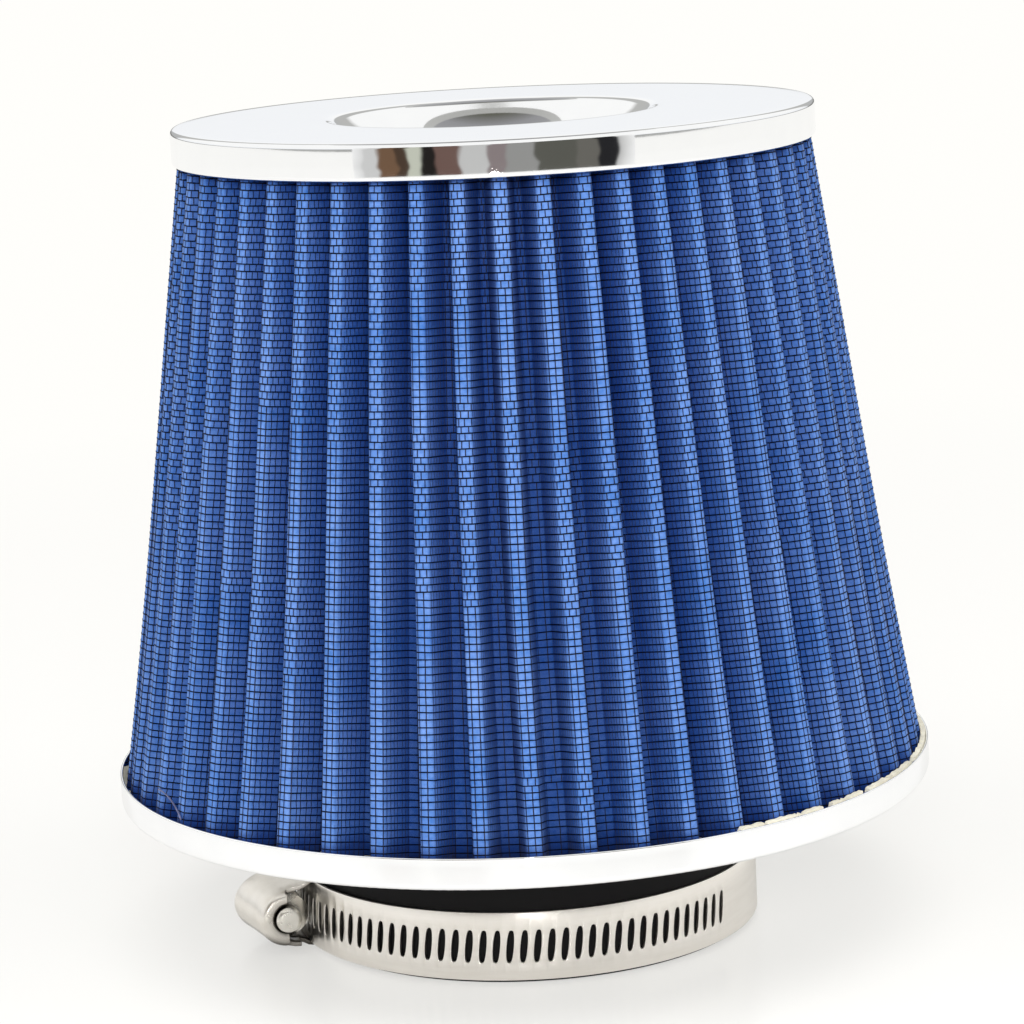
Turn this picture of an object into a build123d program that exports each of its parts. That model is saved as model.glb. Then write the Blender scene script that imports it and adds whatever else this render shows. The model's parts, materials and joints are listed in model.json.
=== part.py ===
from build123d import *
import os
from math import cos, hypot, pi, radians, sin

# Cone air filter. Millimetres, +Z up, origin at the centre of the inlet, at the end of the neck.
# The front of the filter faces -Y. Angles are measured about Z from +X.

# Rubber neck
inlet_bore = 76.0
neck_wall = 4.5
neck_length = 27.7
flange_reach = 6.0
flange_depth = 2.4
seat_clearance = 0.1

# Base pan
ring_diameter = 153.0
ring_height = 5.9
ring_sheet = 0.8
ring_corner = 0.8

# End cap
total_height = 153.5
cap_diameter = 118.4
cap_skirt = 6.6
cap_sheet = 0.6
cap_corner = 0.8
bowl_mouth = 62.0
bowl_depth = 14.0
bowl_lip = 3.0

# Potting compound
base_potting_drop = 3.0
cap_potting_depth = 3.4
potting_overlap = 2.0
potting_clearance = 0.1

# Pleated pack
pleat_count = 51
pleat_depth = 9.0
fold_gap = 0.3
flank_spread = 1.2
pleat_phase = -89.5
rim_gap = 1.0
skirt_gap = 0.3
mesh_sheet = 0.25
media_sheet = 0.6
layer_gap = 0.06

# Worm-drive clamp band
band_width = 12.7
band_sheet = 0.65
band_rise = 0.7
band_clearance = 0.05
band_lift = 2.2
lift_angle = 62.0
housing_angle = 195.0
overlap_angle = 3.0
tail_angle = 18.0
tongue_angle = 12.0
tongue_width = 9.4
slot_length = 6.2
slot_width = 1.3
slot_pitch = 2.5
slot_lean = 7.0
slotted_angle = 129.0
tail_margin = 3.0

# Worm screw
worm_core = 5.6
worm_crest = 8.6
crest_gap = 0.25
worm_length = 12.0
tip_diameter = 4.8
tip_length = 2.2
journal_diameter = 5.6
journal_length = 1.6
head_width = 7.0
head_length = 5.0
head_chamfer = 0.6
driver_slot_width = 1.2
driver_slot_depth = 1.8

# Worm housing
housing_sheet = 0.8
housing_gap = 0.3
housing_flare = 0.6
leg_sheet = 0.5
leg_inset = 0.3
leg_bend = 1.5
foot_length = 5.0
foot_sheet = 0.5
foot_clearance = 0.1

# Levels and radii that follow from the sizes above
neck_radius = inlet_bore / 2 + neck_wall
pan_floor = neck_length + ring_sheet
ring_top = neck_length + ring_height
ring_inside = ring_diameter / 2 - ring_sheet
seat_radius = neck_radius + seat_clearance
cap_bottom = total_height - cap_skirt
cap_ceiling = total_height - cap_sheet
cap_inside = cap_diameter / 2 - cap_sheet
pack_bottom = ring_top - base_potting_drop
pack_top = cap_ceiling - cap_potting_depth
foot_ridge = ring_inside - rim_gap
skirt_ridge = cap_inside - skirt_gap
taper = (foot_ridge - skirt_ridge) / (cap_bottom - pack_bottom)
band_radius = neck_radius + band_clearance
band_middle = band_rise + band_width / 2
lift_start = housing_angle - 360 + lift_angle
worm_radius = band_radius + band_sheet + band_lift * (1 - cos(radians(lift_angle))) + crest_gap + worm_crest / 2
pack_sheet = 2 * mesh_sheet + media_sheet + 2 * layer_gap
ridge_width = fold_gap + 2 * pack_sheet


def ridge_radius(height):
    """Distance of the pleats' outer ridges from the axis at a height."""
    return foot_ridge - taper * (height - pack_bottom)


def pleat_outline(height, inset):
    """Corners of the folded sheet at a height, the inset measured in from its outer face."""
    slope = flank_spread / pleat_depth
    ridge = ridge_radius(height) - inset
    ridge_half = ridge_width / 2 + slope * inset - inset * hypot(1, slope)
    foot_half = ridge_half + flank_spread
    fold = (
        (ridge - pleat_depth, -foot_half),
        (ridge, -ridge_half),
        (ridge, ridge_half),
        (ridge - pleat_depth, foot_half),
    )
    corners = []
    for pleat in range(pleat_count):
        turn = radians(pleat_phase + 360 * pleat / pleat_count)
        for out, side in fold:
            corners.append((out * cos(turn) - side * sin(turn), out * sin(turn) + side * cos(turn)))
    return corners


def pleat_section(height, inset, sheet):
    """Section of one layer of the pleated pack at a height."""
    with BuildSketch(Plane.XY.offset(height)) as section:
        with BuildLine():
            Polyline(*pleat_outline(height, inset), close=True)
        make_face()
        with BuildLine():
            Polyline(*pleat_outline(height, inset + sheet), close=True)
        make_face(mode=Mode.SUBTRACT)
    return section.sketch


def pleat_sections(inset, sheet):
    """The two end sections of one layer of the pleated pack."""
    return [pleat_section(height, inset, sheet) for height in (pack_bottom, pack_top)]


# Rubber neck: a tube that hangs through the base pan by a flange
with BuildPart() as inlet_neck:
    with BuildSketch(Plane.XZ):
        with BuildLine():
            Polyline(
                (inlet_bore / 2, 0),
                (neck_radius, 0),
                (neck_radius, pan_floor),
                (neck_radius + flange_reach, pan_floor),
                (neck_radius + flange_reach, pan_floor + flange_depth),
                (inlet_bore / 2, pan_floor + flange_depth),
                close=True,
            )
        make_face()
    revolve(axis=Axis.Z)
inlet_neck.part.label = "inlet_neck"

# Base pan: a pressed disc with an upright rim and a hole for the neck
with BuildPart() as base_ring:
    with BuildSketch(Plane.XZ):
        with BuildLine():
            Polyline(
                (seat_radius, neck_length),
                (ring_diameter / 2 - ring_corner, neck_length),
                (ring_diameter / 2, neck_length + ring_corner),
                (ring_diameter / 2, ring_top),
                (ring_inside, ring_top),
                (ring_inside, pan_floor),
                (seat_radius, pan_floor),
                close=True,
            )
        make_face()
    revolve(axis=Axis.Z)
base_ring.part.label = "base_ring"

# End cap: a pressed skirt, a flat rim and a dished middle in one sheet
bowl_radius = ((bowl_mouth / 2) ** 2 + bowl_depth**2) / (2 * bowl_depth) - bowl_lip
bowl_centre = Vector(0, total_height - bowl_depth + bowl_radius)
lip_centre = Vector(bowl_mouth / 2, total_height - bowl_lip)
lip_to_bowl = (bowl_centre - lip_centre).normalized()
bowl_edge = lip_centre + lip_to_bowl * bowl_lip
bowl_edge_inside = lip_centre + lip_to_bowl * (bowl_lip - cap_sheet)
bowl_floor = total_height - bowl_depth
with BuildPart() as end_cap:
    with BuildSketch(Plane.XZ):
        with BuildLine():
            rim_outside = Polyline(
                (cap_diameter / 2, cap_bottom),
                (cap_diameter / 2, total_height - cap_corner),
                (cap_diameter / 2 - cap_corner, total_height),
                (bowl_mouth / 2, total_height),
            )
            RadiusArc(rim_outside @ 1, bowl_edge, -bowl_lip)
            RadiusArc(bowl_edge, (0, bowl_floor), bowl_radius)
            Line((0, bowl_floor), (0, bowl_floor - cap_sheet))
            RadiusArc((0, bowl_floor - cap_sheet), bowl_edge_inside, -bowl_radius - cap_sheet)
            lip_inside = RadiusArc(bowl_edge_inside, (bowl_mouth / 2, cap_ceiling), bowl_lip - cap_sheet)
            Polyline(
                lip_inside @ 1,
                (cap_inside, cap_ceiling),
                (cap_inside, cap_bottom),
                rim_outside @ 0,
            )
        make_face()
    revolve(axis=Axis.Z)
end_cap.part.label = "end_cap"

# Potting compound in the pan and in the cap
with BuildPart() as base_potting:
    with BuildSketch(Plane.XY.offset(pan_floor)):
        Circle(ring_inside - potting_clearance)
        Circle(neck_radius + flange_reach + potting_clearance, mode=Mode.SUBTRACT)
    extrude(amount=pack_bottom - pan_floor)
base_potting.part.label = "base_potting"

with BuildPart() as cap_potting:
    with BuildSketch(Plane.XY.offset(pack_top)):
        Circle(cap_inside - potting_clearance)
        Circle(ridge_radius(pack_top) - pleat_depth - pack_sheet - potting_overlap, mode=Mode.SUBTRACT)
    extrude(amount=cap_potting_depth)
cap_potting.part.label = "cap_potting"

# Pleated pack: filter cloth between two wire screens, folded together
with BuildPart() as outer_mesh:
    loft(pleat_sections(0, mesh_sheet), ruled=True)
outer_mesh.part.label = "outer_mesh"

with BuildPart() as filter_media:
    loft(pleat_sections(mesh_sheet + layer_gap, media_sheet), ruled=True)
filter_media.part.label = "filter_media"

with BuildPart() as inner_mesh:
    loft(pleat_sections(mesh_sheet + media_sheet + 2 * layer_gap, mesh_sheet), ruled=True)
inner_mesh.part.label = "inner_mesh"

# Clamp band: one strip that runs round the neck, lifts and passes over its own fixed end
def turned(angle):
    """Unit vector at an angle about Z."""
    return Vector(cos(radians(angle)), sin(radians(angle)), 0)


def band_sector(bottom, centre, radius, start, end):
    """Plan of a stretch of the band, bent to a radius about a centre."""
    with BuildSketch(Plane.XY.offset(bottom)) as sector:
        with BuildLine():
            inner = CenterArc(centre, radius, start, end - start)
            outer = CenterArc(centre, radius + band_sheet, start, end - start)
            Line(inner @ 0, outer @ 0)
            Line(inner @ 1, outer @ 1)
        make_face()
    return sector.sketch


def slot_planes(centre, radius, angles):
    """Planes on the band's inner face, one for each slot, with Y up."""
    return [
        Plane(centre + turned(angle) * radius, x_dir=turned(angle + 90), z_dir=turned(angle))
        for angle in angles
    ]


lifted_centre = turned(lift_start) * -band_lift
lifted_radius = band_radius + band_lift
tail_end = lift_start - lift_angle - tail_angle
slot_step = slot_pitch / (band_radius + band_sheet) * 180 / pi
slot_start = housing_angle - 360 + slotted_angle
slot_total = int((slot_start - tail_end - tail_margin) / slot_step) + 1
slot_level = Vector(0, 0, band_middle)
slot_angles = [slot_start - slot_step * slot for slot in range(slot_total)]
wrapped_slots = slot_planes(slot_level, band_radius, [angle for angle in slot_angles if angle > lift_start])
lifted_slots = slot_planes(
    lifted_centre + slot_level, lifted_radius, [angle for angle in slot_angles if angle <= lift_start]
)
tongue_start = housing_angle - tongue_angle
with BuildPart() as clamp_band:
    extrude(band_sector(band_rise, lifted_centre, lifted_radius, lift_start, tail_end), band_width)
    with BuildSketch(*lifted_slots):
        Rectangle(slot_width, slot_length, rotation=-slot_lean)
    extrude(amount=2 * band_sheet, both=True, mode=Mode.SUBTRACT)
    extrude(band_sector(band_rise, (0, 0), band_radius, lift_start, tongue_start), band_width)
    with BuildSketch(*wrapped_slots):
        Rectangle(slot_width, slot_length, rotation=-slot_lean)
    extrude(amount=2 * band_sheet, both=True, mode=Mode.SUBTRACT)
    extrude(
        band_sector(
            band_middle - tongue_width / 2, (0, 0), band_radius, tongue_start, housing_angle + overlap_angle
        ),
        tongue_width,
    )
clamp_band.part.label = "clamp_band"

# Worm screw: its tip faces the front, its slotted hexagon head the back
screw_plane = Plane(
    turned(housing_angle) * worm_radius + Vector(0, 0, band_middle),
    x_dir=turned(housing_angle),
    z_dir=turned(housing_angle - 90),
)
head_start = worm_length / 2 + journal_length
with BuildPart() as clamp_screw:
    with BuildSketch(screw_plane.offset(-worm_length / 2 - tip_length)):
        Circle(tip_diameter / 2)
    extrude(amount=tip_length)
    with BuildSketch(screw_plane.offset(-worm_length / 2)):
        Circle(worm_core / 2)
    extrude(amount=worm_length)
    with BuildSketch(screw_plane.offset(worm_length / 2)):
        Circle(journal_diameter / 2)
    extrude(amount=journal_length)
    with BuildSketch(screw_plane.offset(head_start)):
        RegularPolygon(head_width / 2, 6, major_radius=False)
    extrude(amount=head_length)
    head_face = clamp_screw.faces().sort_by(Axis(screw_plane.origin, screw_plane.z_dir))[-1]
    chamfer(head_face.edges(), head_chamfer)
    with BuildSketch(screw_plane.offset(head_start + head_length)):
        Rectangle(2 * head_width, driver_slot_width)
    extrude(amount=-driver_slot_depth, mode=Mode.SUBTRACT)
clamp_screw.part.label = "clamp_screw"

# Worm housing: a pressed half barrel over the screw, on two legs that hook under the band
barrel_half = worm_length / 2 + housing_gap
barrel_end = barrel_half + housing_sheet
barrel_inside = worm_crest / 2 + housing_gap
leg_inside = barrel_inside + leg_inset
leg_foot = band_width / 2 + foot_clearance
shoulder_drop = worm_crest / 2 + crest_gap - foot_clearance
foot_drop = worm_radius - neck_radius - foot_clearance
barrel_plane = Plane(screw_plane.origin, x_dir=screw_plane.z_dir, z_dir=screw_plane.y_dir)
with BuildPart() as clamp_housing:
    with BuildSketch(barrel_plane):
        with BuildLine():
            Polyline(
                (-barrel_end, tip_diameter / 2 + housing_gap),
                (-barrel_end, barrel_inside + housing_sheet),
                (barrel_end, barrel_inside + housing_flare + housing_sheet),
                (barrel_end, journal_diameter / 2 + housing_gap),
                (barrel_half, journal_diameter / 2 + housing_gap),
                (barrel_half, barrel_inside + housing_flare),
                (-barrel_half, barrel_inside),
                (-barrel_half, tip_diameter / 2 + housing_gap),
                close=True,
            )
        make_face()
    revolve(axis=Axis(screw_plane.origin, screw_plane.z_dir), revolution_arc=90)
    with BuildSketch(screw_plane.offset(-barrel_end)):
        with BuildLine():
            Polyline(
                (0, leg_inside),
                (0, leg_inside + leg_sheet),
                (leg_bend - shoulder_drop, leg_inside + leg_sheet),
                (leg_sheet - shoulder_drop, leg_foot + leg_sheet),
                (-foot_drop, leg_foot + leg_sheet),
                (-foot_drop, leg_foot),
                (-shoulder_drop, leg_foot),
                (leg_bend - leg_sheet - shoulder_drop, leg_inside),
                close=True,
            )
        make_face()
    extrude(amount=2 * barrel_end)
    with BuildSketch(screw_plane.offset(-foot_length / 2)):
        with Locations((-foot_drop, leg_foot + leg_sheet)):
            Rectangle(
                foot_sheet,
                leg_foot + leg_sheet - tongue_width / 2 - housing_gap,
                align=(Align.MIN, Align.MAX),
            )
    extrude(amount=foot_length)
    mirror(about=Plane.XY.offset(band_middle))
clamp_housing.part.label = "clamp_housing"

os.makedirs("parts", exist_ok=True)
export_step(end_cap.part, "parts/end_cap.step")
export_step(cap_potting.part, "parts/cap_potting.step")
export_step(outer_mesh.part, "parts/outer_mesh.step")
export_step(filter_media.part, "parts/filter_media.step")
export_step(inner_mesh.part, "parts/inner_mesh.step")
export_step(base_ring.part, "parts/base_ring.step")
export_step(base_potting.part, "parts/base_potting.step")
export_step(inlet_neck.part, "parts/inlet_neck.step")
export_step(clamp_band.part, "parts/clamp_band.step")
export_step(clamp_housing.part, "parts/clamp_housing.step")
export_step(clamp_screw.part, "parts/clamp_screw.step")
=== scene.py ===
"""Finely built pieces, finishes and studio of a cone air filter, in the shared frame."""

from __future__ import annotations

import json
import logging
import math
import random
from collections.abc import Callable, Iterable, Sequence
from dataclasses import dataclass, field
from enum import Enum

import bmesh
import bpy
from mathutils import Matrix, Vector, noise

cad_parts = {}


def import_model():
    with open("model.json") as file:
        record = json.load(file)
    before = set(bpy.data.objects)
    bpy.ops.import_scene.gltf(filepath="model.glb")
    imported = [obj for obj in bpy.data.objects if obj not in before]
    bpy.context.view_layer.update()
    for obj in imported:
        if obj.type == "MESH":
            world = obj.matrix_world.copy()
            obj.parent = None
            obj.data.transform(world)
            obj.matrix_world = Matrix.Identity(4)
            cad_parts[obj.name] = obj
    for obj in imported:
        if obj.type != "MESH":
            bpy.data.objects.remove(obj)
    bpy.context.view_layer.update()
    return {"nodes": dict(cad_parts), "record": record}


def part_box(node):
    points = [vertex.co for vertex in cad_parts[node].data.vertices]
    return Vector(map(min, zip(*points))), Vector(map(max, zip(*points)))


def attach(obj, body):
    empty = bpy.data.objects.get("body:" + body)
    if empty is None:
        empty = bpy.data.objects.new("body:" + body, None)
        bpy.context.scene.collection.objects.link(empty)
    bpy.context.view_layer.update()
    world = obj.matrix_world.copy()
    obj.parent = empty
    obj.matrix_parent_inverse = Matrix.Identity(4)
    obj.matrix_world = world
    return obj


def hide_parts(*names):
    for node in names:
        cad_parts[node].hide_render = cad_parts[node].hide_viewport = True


LOG = logging.getLogger("cone_filter")
MM = 0.001
FULL_TURN = 2 * math.pi
BEVEL_ANGLE = 50.0
UP = Vector((0.0, 0.0, 1.0))
FILTER = "filter"
SCREW = "clamp_screw"

Span = tuple[float, float]
Triple = tuple[float, float, float]
Tone = Triple
Socket = bpy.types.NodeSocket
Thing = bpy.types.Object
Shape = bmesh.types.BMesh
Vert = bmesh.types.BMVert
Edge = bmesh.types.BMEdge


class Slot(Enum):
    """Material slots of the record."""

    CHROME = "chrome"
    POTTING = "potting"
    SCREEN = "screen"
    MEDIA = "media"
    RUBBER = "neck_rubber"
    STAINLESS = "stainless"
    STEEL = "screw_steel"


class Board:
    """A node tree with short calls that add nodes and join their sockets."""

    def __init__(self, tree: bpy.types.NodeTree) -> None:
        """Empty a node tree and keep it."""
        self.tree = tree
        self.tree.nodes.clear()

    def add(
        self, kind: str, inputs: dict[str | int, object] | None = None, **settings: object
    ) -> bpy.types.Node:
        """Add a node, set its properties and feed its inputs.

        Args:
            kind: the type name of the node, without the word that all shader nodes begin with.
            inputs: a value or an output socket for each named or numbered input.
            **settings: properties of the node.

        Returns:
            The new node.
        """
        node = self.tree.nodes.new(kind if kind.startswith("NodeGroup") else f"ShaderNode{kind}")
        for name, value in settings.items():
            setattr(node, name, value)
        for key, value in (inputs or {}).items():
            if isinstance(value, Socket):
                self.tree.links.new(value, node.inputs[key])
            else:
                node.inputs[key].default_value = value
        return node

    def math(self, operation: str, *values: Socket | float) -> Socket:
        """Result of a math node on values in order."""
        return self.add("Math", dict(enumerate(values)), operation=operation).outputs[0]

    @staticmethod
    def rgba(tone: Socket | Tone) -> Socket | tuple[float, ...]:
        """A colour for an input: a socket as it is, a tone with full opacity."""
        return tone if isinstance(tone, Socket) else (*tone, 1.0)

    def mix(self, share: Socket | float, first: Socket | Tone, second: Socket | Tone, blend: str) -> Socket:
        """Mix a share of a second colour into a first one."""
        inputs = {0: share, 6: self.rgba(first), 7: self.rgba(second)}
        return self.add("Mix", inputs, data_type="RGBA", blend_type=blend).outputs[2]

    def span(self, value: Socket, source: Span = (0.0, 1.0), target: Span = (0.0, 1.0)) -> Socket:
        """Map a value from one range to another, and hold it there."""
        ends = {"From Min": source[0], "From Max": source[1], "To Min": target[0], "To Max": target[1]}
        return self.add("MapRange", {"Value": value, **ends}).outputs["Result"]

    def ramp(self, value: Socket, stops: Sequence[tuple[float, Tone]]) -> Socket:
        """Colour ramp over a value.

        Args:
            value: the value, from 0 to 1.
            stops: the place and the tone of each stop, in order.

        Returns:
            The colour.
        """
        node = self.add("ValToRGB", {"Fac": value})
        ends = node.color_ramp.elements
        ends.remove(ends[1])
        ends[0].position, ends[0].color = stops[0][0], self.rgba(stops[0][1])
        for position, tone in stops[1:]:
            ends.new(position).color = self.rgba(tone)
        return node.outputs["Color"]

    def finish(self, shader: bpy.types.Node) -> None:
        """Join a shader to the output of a material."""
        self.add("OutputMaterial", {"Surface": shader.outputs[0]})


def paint(name: str) -> tuple[bpy.types.Material, Board]:
    """Start a material.

    Args:
        name: its name.

    Returns:
        The material and its empty board.
    """
    made = bpy.data.materials.new(name)
    made.use_nodes = True
    return made, Board(made.node_tree)


def grain_group() -> bpy.types.NodeTree:
    """Node group shared by the finishes: a coarse and a fine noise mixed into one factor.

    Returns:
        The node group, made on its first use.
    """
    found = bpy.data.node_groups.get("grain")
    if found:
        return found
    tree = bpy.data.node_groups.new("grain", "ShaderNodeTree")
    for name, kind in (("Vector", "Vector"), ("Coarse", "Float"), ("Fine", "Float")):
        tree.interface.new_socket(name, in_out="INPUT", socket_type=f"NodeSocket{kind}")
    tree.interface.new_socket("Fac", in_out="OUTPUT", socket_type="NodeSocketFloat")
    board = Board(tree)
    given = board.add("NodeGroupInput").outputs
    noises = [
        board.add("TexNoise", {"Vector": given["Vector"], "Scale": given[name], "Detail": 4.0}).outputs["Fac"]
        for name in ("Coarse", "Fine")
    ]
    board.add("NodeGroupOutput", {"Fac": board.math("MULTIPLY", board.math("ADD", *noises), 0.5)})
    return tree


@dataclass(frozen=True)
class Finish:
    """A procedural finish: two tones, a roughness range and a relief that follow one grain.

    The grain sizes are in waves per metre, the relief is a height in metres, and stretch squeezes
    the grain along the axes of the coordinates. The painted shade fields give the width in metres of the
    corners and recesses that an ambient occlusion node darkens, how steeply, with how many rays, and the
    dark tone they fall to: this is painted shade, not dirt.
    """

    name: str
    dark: Tone
    light: Tone
    coarse: float
    fine: float
    rough: Span
    relief: float
    metallic: float = 0.0
    sheen: float = 0.0
    specular: float = 0.5
    # Painted shade: reach, tone, steepness and rays of the ambient occlusion darkening in corners and
    # recesses.
    painted_shade_reach: float = 0.0
    painted_shade_tone: Tone = (0.03, 0.026, 0.02)
    painted_shade_power: float = 2.4
    painted_shade_rays: int = 8
    stretch: Triple = (1.0, 1.0, 1.0)
    on_uv: bool = False
    grain_span: Span = (0.3, 0.7)

    def material(self) -> bpy.types.Material:
        """Make the material on its first use.

        Returns:
            The material.
        """
        found = bpy.data.materials.get(self.name)
        if found:
            return found
        made, board = paint(self.name)
        spot = board.add("TexCoord").outputs["UV" if self.on_uv else "Object"]
        scaled = board.add("Mapping", {"Vector": spot, "Scale": self.stretch}).outputs["Vector"]
        sizes = {"Vector": scaled, "Coarse": self.coarse, "Fine": self.fine}
        grain = board.add("Group", sizes, node_tree=grain_group()).outputs["Fac"]
        level = board.span(grain, self.grain_span)
        colour = board.mix(level, self.dark, self.light, "MIX")
        # Painted shade: an ambient occlusion node darkens corners and recesses towards a dark tone.
        if self.painted_shade_reach:
            shut = board.add("AmbientOcclusion", {"Distance": self.painted_shade_reach}, samples=self.painted_shade_rays)
            depth = board.math("POWER", shut.outputs["AO"], self.painted_shade_power)
            colour = board.mix(depth, self.painted_shade_tone, colour, "MIX")
        bump = board.add("Bump", {"Height": grain, "Strength": 1.0, "Distance": self.relief})
        inputs = {
            "Base Color": colour,
            "Roughness": board.span(level, target=self.rough),
            "Normal": bump.outputs["Normal"],
            "Metallic": self.metallic,
            "Sheen Weight": self.sheen,
            "Specular IOR Level": self.specular,
        }
        board.finish(board.add("BsdfPrincipled", inputs))
        return made


CHROME = Finish(
    "polished_chrome", (0.92, 0.925, 0.935), (0.96, 0.965, 0.97), 18.0, 160.0, (0.03, 0.06), 4e-6,
    metallic=1.0,
)
# Painted shade: ambient occlusion darkens the pleat valleys and the pleat tops under the cap to deep blue.
CLOTH = Finish(
    "blue_cloth", (0.028, 0.112, 0.36), (0.135, 0.242, 0.535), 60.0, 1100.0, (0.85, 0.98), 6e-5,
    sheen=0.04, specular=0.12, painted_shade_reach=7 * MM, painted_shade_tone=(0.002, 0.022, 0.15), painted_shade_power=1.8, painted_shade_rays=3,
)
WIRE = Finish(
    "black_wire", (0.0005, 0.0015, 0.007), (0.002, 0.004, 0.014), 90.0, 900.0, (0.5, 0.65), 1e-5,
    specular=0.06,
)
BROWN_WIRE = Finish(
    "brown_wire", (0.002, 0.003, 0.006), (0.022, 0.019, 0.022), 60.0, 500.0, (0.4, 0.55), 1e-5,
    specular=0.15,
)
PALE_WIRE = Finish("pale_wire", (0.02, 0.025, 0.07), (0.13, 0.14, 0.25), 200.0, 900.0, (0.3, 0.45), 1e-5)
CREAM = Finish("cream_potting", (0.52, 0.49, 0.385), (0.72, 0.69, 0.58), 120.0, 900.0, (0.45, 0.7), 8e-5)
RUBBER = Finish(
    "black_rubber", (0.002, 0.002, 0.002), (0.005, 0.0045, 0.005), 70.0, 1400.0, (0.5, 0.7), 2e-5,
    specular=0.15,
)
STAINLESS = Finish(
    "rolled_stainless", (0.84, 0.80, 0.735), (0.96, 0.925, 0.87), 40.0, 900.0, (0.26, 0.38), 3e-6,
    metallic=1.0, stretch=(0.08, 1.0, 1.0), on_uv=True,
)
# Painted shade: ambient occlusion darkens the housing's inside and its corners.
PRESSED = Finish(
    "pressed_stainless", (0.80, 0.76, 0.69), (0.93, 0.895, 0.835), 60.0, 500.0, (0.26, 0.38), 8e-6,
    metallic=1.0, painted_shade_reach=5 * MM,
)
# Painted shade: ambient occlusion darkens the screw's corners and the slot in its head.
STEEL = Finish(
    "plated_steel", (0.74, 0.71, 0.64), (0.92, 0.90, 0.84), 120.0, 700.0, (0.22, 0.4), 6e-6,
    metallic=1.0, painted_shade_reach=2 * MM,
)


def dress(piece: Thing, finish: Finish) -> None:
    """Give a piece its finish.

    Args:
        piece: the object.
        finish: its finish.
    """
    piece.data.materials.clear()
    piece.data.materials.append(finish.material())


def place(piece: Thing, finish: Finish, slot: Slot, *nodes: str, body: str = FILTER) -> Thing:
    """Dress a piece, attach it to its body and hide the CAD nodes that it stands for.

    Args:
        piece: the finished object, its place in its mesh.
        finish: its finish.
        slot: its material slot in the record; not used.
        *nodes: CAD nodes that it replaces.
        body: the CAD body it rides on.

    Returns:
        The same object.
    """
    dress(piece, finish)
    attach(piece, body)
    if nodes:
        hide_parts(*nodes)
    LOG.info("built %s", piece.name)
    return piece


def linked(name: str, data: bpy.types.ID) -> Thing:
    """Make an object of some data and put it in the scene.

    Args:
        name: name of the object.
        data: its mesh, curve, lamp or camera.

    Returns:
        The new object.
    """
    made = bpy.data.objects.new(name, data)
    bpy.context.scene.collection.objects.link(made)
    return made


def mesh_object(name: str, bm: Shape, sharp_angle: float = 35.0) -> Thing:
    """Turn a finished bmesh into a smooth-shaded object.

    Args:
        name: name of the object.
        bm: the bmesh, which is freed.
        sharp_angle: edges sharper than this many degrees stay sharp.

    Returns:
        The new object.
    """
    mesh = bpy.data.meshes.new(name)
    bm.to_mesh(mesh)
    bm.free()
    mesh.polygons.foreach_set("use_smooth", [True] * len(mesh.polygons))
    mesh.set_sharp_from_angle(angle=math.radians(sharp_angle))
    return linked(name, mesh)


def thicken(piece: Thing, sheet: float, side: float, edge: float = 0.0) -> None:
    """Give a surface the thickness of its sheet, with softened edges.

    Args:
        piece: the object to thicken.
        sheet: thickness of the sheet.
        side: 1 to add it outside the surface, -1 inside.
        edge: width of the softened edges, or 0 for none.
    """
    wall = piece.modifiers.new("sheet", "SOLIDIFY")
    wall.thickness = sheet
    wall.offset = side
    if edge:
        soft = piece.modifiers.new("edges", "BEVEL")
        soft.width = edge
        soft.segments = 2
        soft.limit_method = "ANGLE"
        soft.angle_limit = math.radians(BEVEL_ANGLE)


def outward(face: bmesh.types.BMFace) -> Vector:
    """Way from the filter's axis to a face."""
    return face.calc_center_median().to_2d().to_3d()


def face_away(bm: Shape, away: Callable[[bmesh.types.BMFace], Vector] = outward) -> None:
    """Turn all faces of an open surface to its outer side.

    Args:
        bm: the bmesh.
        away: gives the outward direction at a face.
    """
    bmesh.ops.recalc_face_normals(bm, faces=bm.faces[:])
    if sum(face.normal.dot(away(face)) for face in bm.faces) < 0:
        bmesh.ops.reverse_faces(bm, faces=bm.faces[:])


def chain(
    bm: Shape, points: Iterable[Sequence[float]], closed: bool = False
) -> tuple[list[Vert], list[Edge]]:
    """Add a line of vertices that edges join.

    Args:
        bm: the bmesh.
        points: the points in order.
        closed: whether the last point joins the first.

    Returns:
        The vertices and the edges.
    """
    verts = [bm.verts.new(point) for point in points]
    ahead = verts[1:] + verts[:1] if closed else verts[1:]
    return verts, [bm.edges.new(pair) for pair in zip(verts, ahead)]


def extruded(bm: Shape, edges: Sequence[Edge]) -> tuple[list[Vert], list[Edge]]:
    """Extrude a row of edges.

    Args:
        bm: the bmesh.
        edges: the row.

    Returns:
        The new vertices, still in the place of the old ones, and the new row of edges.
    """
    grown = bmesh.ops.extrude_edge_only(bm, edges=edges)["geom"]
    verts = [part for part in grown if isinstance(part, Vert)]
    fresh = set(verts)
    return verts, [part for part in grown if isinstance(part, Edge) and fresh.issuperset(part.verts)]


def spun(bm: Shape, geom: list, angle: float, steps: int, rise: float = 0.0, merge: bool = False) -> None:
    """Spin parts of a bmesh round Z by an angle in radians, with a rise at each step."""
    way = {"cent": (0.0, 0.0, 0.0), "axis": UP, "dvec": UP * rise}
    bmesh.ops.spin(bm, geom=geom, **way, angle=angle, steps=steps, use_merge=merge)


def steps_round(line: Sequence[Vector]) -> list[Vector]:
    """Way from each point of a closed line to the next."""
    return [after - point for point, after in zip(line, [*line[1:], line[0]])]


def arc(centre: Span, radius: float, start: float, end: float, steps: int) -> list[Span]:
    """Points of an arc in a plane between two angles in degrees, both ends included."""
    angles = [math.radians(start + (end - start) * step / steps) for step in range(steps + 1)]
    return [(centre[0] + radius * math.cos(angle), centre[1] + radius * math.sin(angle)) for angle in angles]


def heading(angle: float) -> Vector:
    """Level way out from the axis at an angle in radians."""
    return Vector((math.cos(angle), math.sin(angle), 0.0))


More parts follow.
